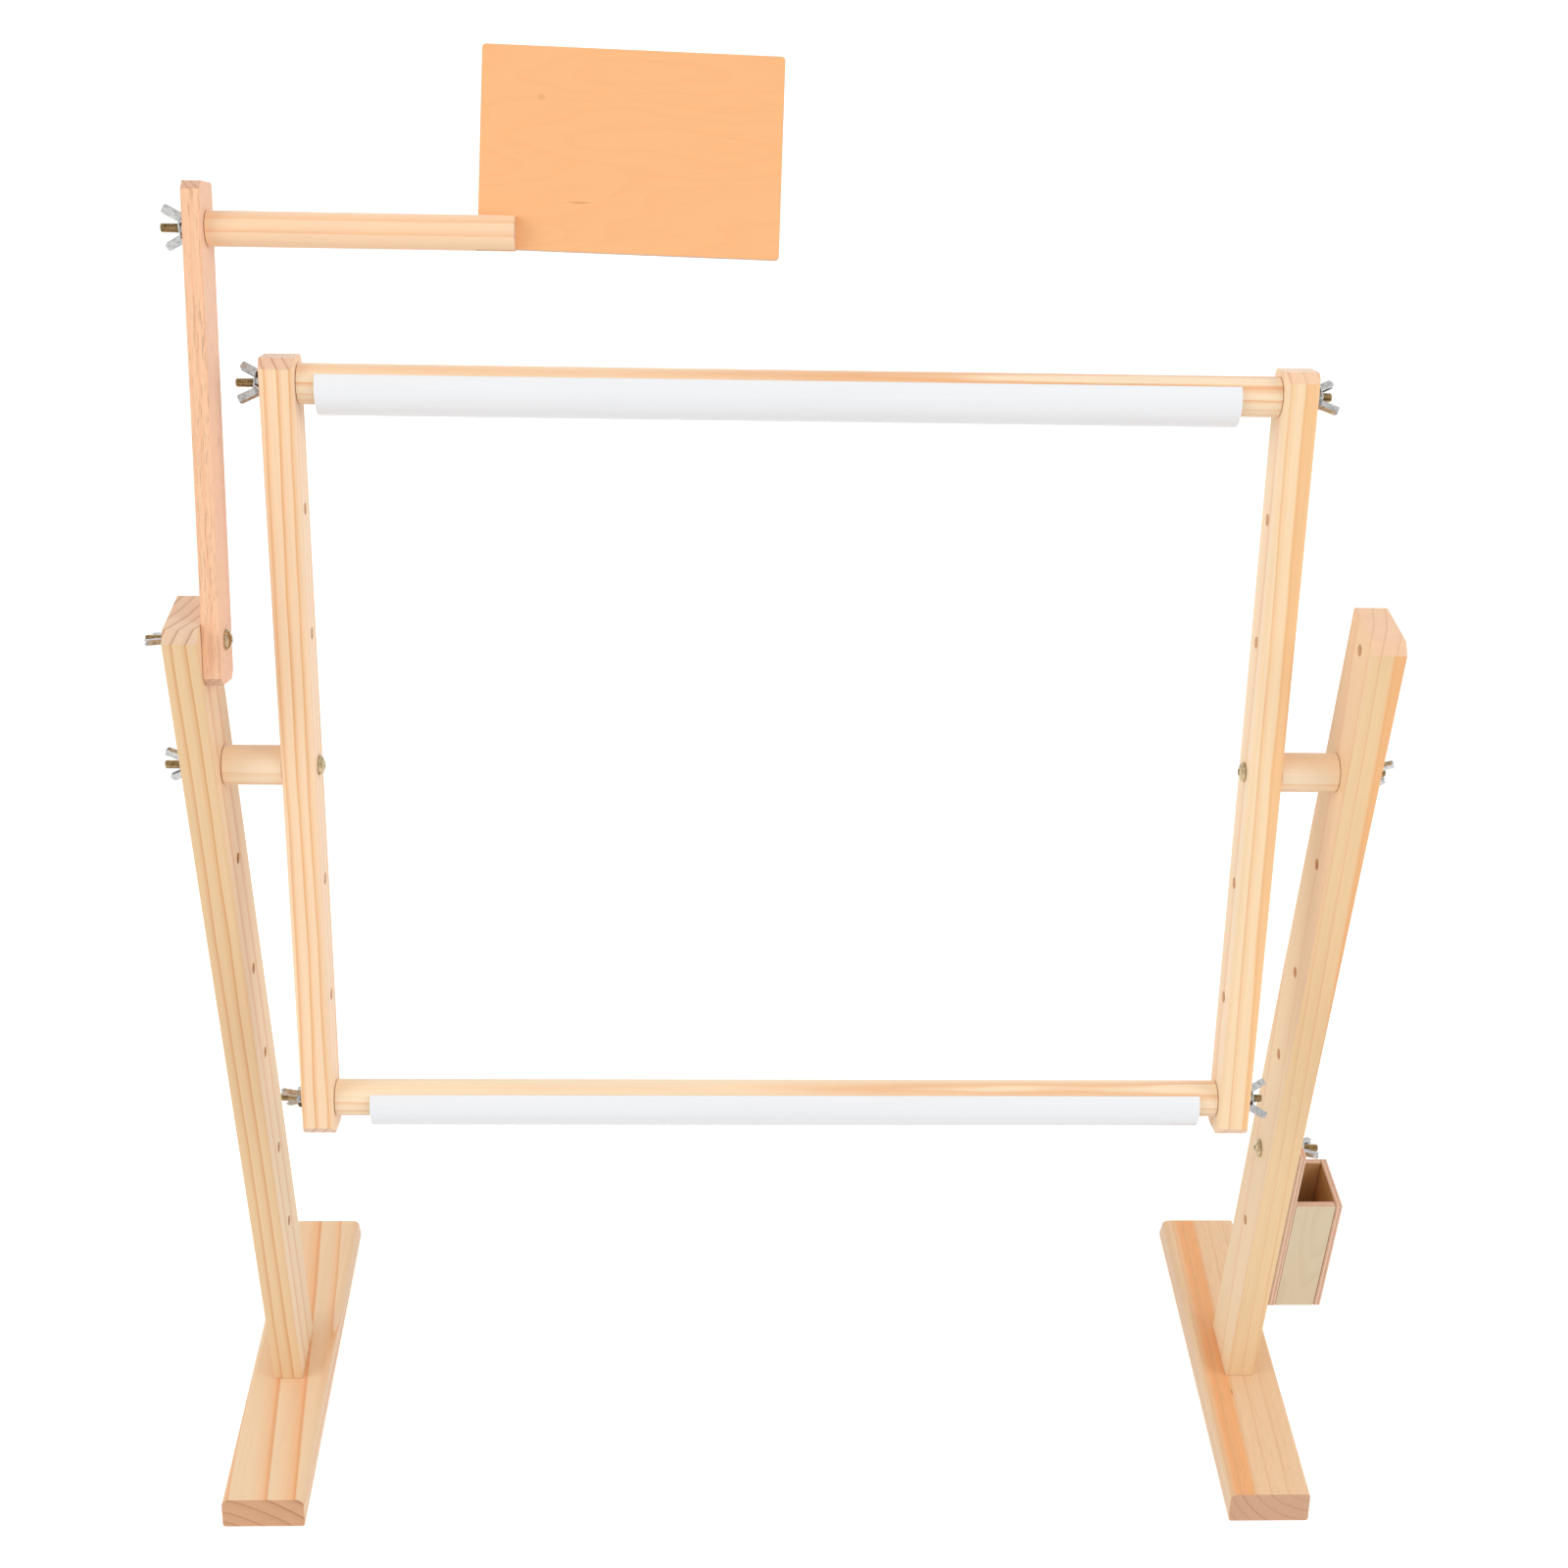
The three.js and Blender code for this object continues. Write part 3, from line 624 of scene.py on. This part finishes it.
def dress_feet():
    soften("left_foot", FOOT_EDGE)
    look = dict(WOOD, pale="#f0d1ab", dark="#f3b27c", line="#d6945c", warm="#f4b884",
                end_pale="#daa67e", end_dark="#a8704c")
    zones = ((-40, 0.1), (-10, 0.0), (-5, 0.35), (0, 0.5), (0.2, 0.1), (30, 0.3))
    left = wood("left_foot", "left_foot", ALONG_Y, look,
                pith=(-90, 159), ring=9.8, through=(12, -11), drift=(-90, 0), zones=zones,
                contrast=1.1, wander=0.25, seed=1.3)
    dress("left_foot", left)

    soften("right_foot", FOOT_EDGE)
    look = dict(WOOD, pale="#efcca4", dark="#ebb684", line="#cf9866", warm="#f2ae74",
                end_pale="#d6a886", end_dark="#ba8460")
    zones = ((-30, 0.1), (-1, 0.15), (1, 1.0), (11, 1.0), (17, 0.1))
    streak = ((-9.4, -11, -45), (0.9, 1.5, 4.0), "#b9713c", 0.8)
    right = wood("right_foot", "right_foot", ALONG_Y, look,
                 pith=(38, -45), ring=8.0, through=(-8, -11), drift=(25, 0), zones=zones,
                 contrast=0.45, lines=0.35, wander=0.4, flecks=0.1, stains=(streak,), seed=5.2)
    dress("right_foot", right)


def dress_uprights():
    soften("left_upright", UPRIGHT_EDGE)
    look = dict(WOOD, pale="#f2cea0", dark="#e4a76c", line="#d69658",
                end_pale="#ecc8a8", end_dark="#b4845e")
    left = wood("left_upright", "left_upright", along_z(), look,
                pith=(-160, 68), ring=7.5, through=(4.7, -25.5), wander=0.4, lines=0.5, seed=4.1)
    dress("left_upright", left)

    soften("right_upright", UPRIGHT_EDGE)
    look = dict(WOOD, pale="#f5d2a2", dark="#f0b078", line="#dd9858", warm="#f8b678",
                end_pale="#f6cba6", end_dark="#d2a07a")
    zones = ((-16, 0.0), (-2.5, 0.1), (-1.2, 0.8), (12, 0.9))
    right = wood("right_upright", "right_upright", along_z(), look,
                 pith=(-200, 60), ring=9.0, through=(13, -25.5), drift=(-25, 0), zones=zones,
                 contrast=0.3, lines=0.4, wander=0.4, seed=6.4)
    dress("right_upright", right)


def dress_bars():
    grain = along_z(frame_tilt)
    soften("left_frame_bar", BAR_EDGE)
    look = dict(WOOD, pale="#ffdcb5", dark="#f6b67a", line="#e4a86e",
                end_pale="#f0c9ab", end_dark="#cf9876")
    left = wood("left_bar", "left_frame_bar", grain, look,
                pith=(95, 60), ring=5.6, through=(6.7, -16), drift=(4, 0),
                lines=0.4, wander=0.6, seed=2.7)
    dress("left_frame_bar", left)

    soften("right_frame_bar", BAR_EDGE)
    look = dict(WOOD, pale="#ffe2ba", dark="#f9c088", line="#e2a972", warm="#fcc88e",
                end_pale="#fbd2ae", end_dark="#dea682")
    zones = ((-11, 0.9), (-2, 0.9), (0, 1.0), (1, 0.1), (20, 0.1))
    right = wood("right_bar", "right_frame_bar", grain, look,
                 pith=(150, 60), ring=9.0, through=(4.5, -16), drift=(-8, 0), zones=zones,
                 contrast=0.8, lines=0.35, wander=0.8, seed=8.9)
    dress("right_frame_bar", right)


def dress_rods():
    look = dict(WOOD, pale="#ffe5c2", dark="#fabe8a", line="#e4a46e")
    for name, seed in (("top_roller", 3.3), ("bottom_roller", 9.6)):
        soften(name, ROD_EDGE)
        roller = wood(name, name, ALONG_X, look,
                      pith=(30, 10), ring=4.6, through=(2, -12), drift=(4, 0),
                      lines=0.35, wander=0.3, seed=seed)
        dress(name, roller)
    for side, seed in (("left", 2.9), ("right", 7.4)):
        name = f"{side}_pivot_spacer"
        soften(name, SPACER_EDGE)
        spacer = wood(name, name, ALONG_X, look, pith=(30, 14), ring=7.0, through=(6, -11),
                      contrast=0.6, lines=0.2, wander=0.6, seed=seed)
        dress(name, spacer)


def dress_arm():
    soften("pattern_arm", ARM_EDGE)
    look = dict(WOOD, pale="#fdcba4", dark="#f8b88c", line="#e6a278",
                end_pale="#e6b796", end_dark="#cc9776")
    streak = ((5.6, 4.0, -2), (1.5, 1.2, 4.5), "#a5602e", 0.9)
    arm = wood("beech", "pattern_arm", along_z(arm_lean), look,
               pith=(60, 60), ring=3.2, through=(0, 0),
               contrast=0.6, lines=0.2, wander=0.8, flecks=0.3, stains=(streak,), seed=1.1)
    dress("pattern_arm", arm)

    soften("pattern_dowel", ROD_EDGE)
    look = dict(WOOD, pale="#fed8b1", dark="#fbba84", line="#eeac76")
    dowel = wood("dowel", "pattern_dowel", ALONG_X, look,
                 pith=(-30, 8), ring=9.0, through=(-1, -10.4),
                 contrast=0.7, lines=0.15, wander=0.2, seed=5.9)
    dress("pattern_dowel", dowel)


def dress_ply():
    soften("pattern_board", SHEET_EDGE, THIN_EDGE_STEPS)
    knot = ((-27.9, 15.8, -53.8), (2.2, 4, 3.0), "#d29a5a", 0.5)
    scratch = ((25.6, -14.5, -31), (0.8, 4, 9.0), "#c98a4e", 0.7)
    board = plywood("board", "pattern_board", ALONG_X, PLY_BOARD, BOARD_THICKNESS, BOARD_LAYERS,
                    stains=(knot, scratch), seed=2.2)
    dress("pattern_board", board)
    inside = (centre("box_front") + centre("box_back")) / 2
    for index, part in enumerate(("plate", "front", "back", "outer_side", "floor")):
        name = f"box_{part}"
        soften(name, SHEET_EDGE, THIN_EDGE_STEPS)
        across = sheet_normal(name)
        inward = tuple(across * math.copysign(1, (inside - centre(name)).dot(across)))
        sheet = plywood(name, name, along_z(), PLY_BOX, BOX_THICKNESS, BOX_LAYERS,
                        inward=inward, seed=1.7 + index)
        dress(name, sheet)


# Threads and domed heads, made along X with the thread's end furthest from the middle of the stand

THREAD_RADIUS = 3.0 * MM
THREAD_PITCH = 1.0 * MM
THREAD_DEPTH = 0.61 * MM
THREAD_LENGTH = 30 * MM
THREAD_RUNOUT = 3 * MM
THREAD_END_CHAMFER = 0.8 * MM
THREAD_SIDES = 24
STEPS_PER_PITCH = 6

# Form of the groove, in shares of its depth: where its flanks would meet, and their slope per pitch
GROOVE_TIP = 1.3
GROOVE_SLOPE = 2.8

HEAD_HEIGHT = 3.8 * MM
HEAD_RADIUS = 6.5 * MM
HEAD_RIM = 0.7 * MM
HEAD_STEPS = 10
RECESS_LENGTH = 5.4 * MM
RECESS_WIDTH = 1.8 * MM
RECESS_DEPTH = 2.2 * MM
RECESS_FLARE = 1.2
RECESS_TURN = 0.4
SHARP_ANGLE = 38


def thread_depth(place, angle, start, end):
    """How deep the thread cuts at a place along it."""
    phase = (place / THREAD_PITCH - angle / (2 * math.pi)) % 1
    groove = min(1.0, max(0.0, GROOVE_TIP - GROOVE_SLOPE * abs(phase - 0.5)))
    grown = min(1.0, max(0.0, (place - start) / THREAD_RUNOUT))
    chamfer = max(0.0, THREAD_END_CHAMFER - (end - place))
    return max(THREAD_DEPTH * groove * grown, chamfer)


def ring_rows(profile, start, end):
    """Rings of points: first a turned profile of (place, radius), then a thread."""
    rows = []
    angles = [2 * math.pi * side / THREAD_SIDES for side in range(THREAD_SIDES)]
    for place, reach in profile:
        rows.append([(place, reach * math.cos(angle), reach * math.sin(angle)) for angle in angles])
    steps = round((end - start) / THREAD_PITCH * STEPS_PER_PITCH)
    for step in range(steps + 1):
        place = start + (end - start) * step / steps
        row = []
        for angle in angles:
            reach = THREAD_RADIUS - thread_depth(place, angle, start, end)
            row.append((place, reach * math.cos(angle), reach * math.sin(angle)))
        rows.append(row)
    return rows


def tube_mesh(name, rows):
    """Closed mesh through rings of equal point counts."""
    count = len(rows[0])
    points = [point for row in rows for point in row]
    faces = [tuple(range(count))[::-1]]
    for row in range(len(rows) - 1):
        for side in range(count):
            following = (side + 1) % count
            here, there = row * count, (row + 1) * count
            faces.append((here + side, here + following, there + following, there + side))
    last = (len(rows) - 1) * count
    faces.append(tuple(range(last, last + count)))
    mesh = bpy.data.meshes.new(name)
    mesh.from_pydata(points, [], faces)
    return mesh


def recess_blade(turn):
    """One of two crossed wedges that cut a head's recess."""
    outer, inner = RECESS_LENGTH / 2, RECESS_LENGTH / 4
    wide, narrow = RECESS_WIDTH / 2, RECESS_WIDTH / 3
    top, bottom = -HEAD_HEIGHT - MM, -HEAD_HEIGHT + RECESS_DEPTH
    points = [(top, y * outer * RECESS_FLARE, z * wide) for y in (-1, 1) for z in (-1, 1)]
    points += [(bottom, y * inner, z * narrow) for y in (-1, 1) for z in (-1, 1)]
    faces = [(0, 1, 3, 2), (4, 6, 7, 5), (0, 4, 5, 1), (2, 3, 7, 6), (0, 2, 6, 4), (1, 5, 7, 3)]
    mesh = bpy.data.meshes.new("blade")
    mesh.from_pydata(points, [], faces)
    mesh.transform(Matrix.Rotation(turn, 4, "X"))
    blade = bpy.data.objects.new("blade", mesh)
    bpy.context.scene.collection.objects.link(blade)
    return blade


def cut_recess(piece):
    for turn in (RECESS_TURN, RECESS_TURN + math.pi / 2):
        blade = recess_blade(turn)
        boolean = piece.modifiers.new("recess", "BOOLEAN")
        boolean.operation = "DIFFERENCE"
        boolean.object = blade
        graph = bpy.context.evaluated_depsgraph_get()
        mesh = bpy.data.meshes.new_from_object(piece.evaluated_get(graph))
        piece.modifiers.clear()
        piece.data = mesh
        bpy.data.objects.remove(blade)


def add_piece(name, mesh, material):
    piece = bpy.data.objects.new(name, mesh)
    bpy.context.scene.collection.objects.link(piece)
    mesh.materials.append(material)
    return piece


def settle(piece, node):
    """Puts a finer piece in a node's place, on the node's body."""
    for polygon in piece.data.polygons:
        polygon.use_smooth = True
    piece.data.set_sharp_from_angle(angle=math.radians(SHARP_ANGLE))
    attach(piece, body_of_node[node])
    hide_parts(node)


def head_profile():
    """Turned profile of a domed head, from its top to its rim."""
    profile = []
    for step in range(1, HEAD_STEPS + 1):
        angle = step / HEAD_STEPS * math.pi / 2
        dome = (HEAD_HEIGHT - HEAD_RIM) * math.cos(angle)
        profile.append((-HEAD_RIM - dome, HEAD_RADIUS * math.sin(angle)))
    profile.append((0.0, HEAD_RADIUS))
    return profile


def threaded_piece(node, material, headed):
    """Stud or bolt with a rolled thread, in place of the frame's plain one."""
    low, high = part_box(node)
    middle = (low + high) / 2
    sign = 1 if middle.x > 0 else -1
    head = HEAD_HEIGHT if headed else 0
    length = high.x - low.x - head
    start = length - THREAD_LENGTH
    profile = head_profile() if headed else []
    profile.append((0.0, THREAD_RADIUS))
    rows = ring_rows(profile, start, length)
    piece = add_piece(f"{node}_threaded", tube_mesh(node, rows), material)
    if headed:
        cut_recess(piece)
    inner_end = low.x if sign > 0 else high.x
    turn = Matrix.Rotation(0 if sign > 0 else math.pi, 4, "Z")
    piece.data.transform(Matrix.Translation((inner_end + sign * head, middle.y, middle.z)) @ turn)
    settle(piece, node)


def dress_metal():
    zinc = metal("zinc", "#d2d1cf", "#86888a", 0.24)
    yellow_zinc = metal("yellow_zinc", "#d3bf9a", "#7a6544", 0.16)
    for name in nodes:
        if name.endswith("_wing_nut"):
            soften(name, NUT_EDGE, THIN_EDGE_STEPS)
            dress(name, zinc)
        if name.endswith("_screw"):
            dress(name, zinc)
        if name.endswith("_stud") or name.endswith("_bolt"):
            dress(name, yellow_zinc)
            threaded_piece(name, yellow_zinc, name.endswith("_bolt"))


# Snap-on clips

CLIP_WALL = 1.8 * MM
CLIP_PLAY = 2.0 * MM
CLIP_MOUTH = 97
CLIP_GAP = 0.3 * MM
CLIP_STEPS = 72
LIP_STEPS = 6
CLIP_END_ROUND = 0.35 * MM
CLIP_END_STEPS = 2
CLIP_END_ANGLE = 50


def clip_outline(roller_radius):
    """Points of the open ring (y, z) round the roller, mouth upwards, with rounded lips."""
    inner = roller_radius + CLIP_PLAY
    outer = inner + CLIP_WALL
    half_mouth = math.radians(CLIP_MOUTH / 2)
    reach = roller_radius + CLIP_GAP
    across = inner * math.sin(half_mouth)
    drop = inner * math.cos(half_mouth) - math.sqrt(reach ** 2 - across ** 2)
    lip = CLIP_WALL / 2
    lip_turn = lip / (outer - lip)
    first = math.pi / 2 + half_mouth + lip_turn
    last = math.pi / 2 - half_mouth + 2 * math.pi - lip_turn
    points = []
    for step in range(CLIP_STEPS + 1):
        angle = first + (last - first) * step / CLIP_STEPS
        points.append((outer * math.cos(angle), outer * math.sin(angle)))
    points += lip_points(outer - lip, last, last, lip)
    for step in range(CLIP_STEPS + 1):
        angle = last + (first - last) * step / CLIP_STEPS
        points.append((inner * math.cos(angle), inner * math.sin(angle)))
    points += lip_points(outer - lip, first, first + math.pi, lip)
    return [(y, z - drop) for y, z in points]


def lip_points(reach, angle, start, lip):
    """Half a circle that ends the ring, turning on from the given start."""
    made = []
    for step in range(1, LIP_STEPS):
        turn = start + math.pi * step / LIP_STEPS
        made.append((
            reach * math.cos(angle) + lip * math.cos(turn),
            reach * math.sin(angle) + lip * math.sin(turn),
        ))
    return made


def add_clip(node, roller, material):
    low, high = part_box(node)
    roller_low, roller_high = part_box(roller)
    outline = clip_outline((roller_high.z - roller_low.z) / 2)
    rows = [[(x, y, z) for y, z in outline] for x in (low.x, high.x)]
    piece = add_piece(f"{node}_shell", tube_mesh(node, rows), material)
    middle = centre(roller)
    turn = Matrix.Rotation(-frame_tilt, 4, "X")
    piece.data.transform(Matrix.Translation((0, middle.y, middle.z)) @ turn)
    bevel = piece.modifiers.new("ends", "BEVEL")
    bevel.width = CLIP_END_ROUND
    bevel.segments = CLIP_END_STEPS
    bevel.angle_limit = math.radians(CLIP_END_ANGLE)
    settle(piece, node)


def dress_clips():
    white = plastic("white_pvc")
    for name in ("top", "bottom"):
        node = f"{name}_fabric_clip"
        dress(node, white)
        add_clip(node, f"{name}_roller", white)


set_view()
add_camera()
add_world()
for lamp_name, lamp_place in LAMP_PLACES.items():
    add_lamp(lamp_name, lamp_place, LAMP_TARGET, LAMP_SIZE, LAMP_POWER)
add_floor()
dress_feet()
dress_uprights()
dress_bars()
dress_rods()
dress_arm()
dress_ply()
dress_metal()
dress_clips()
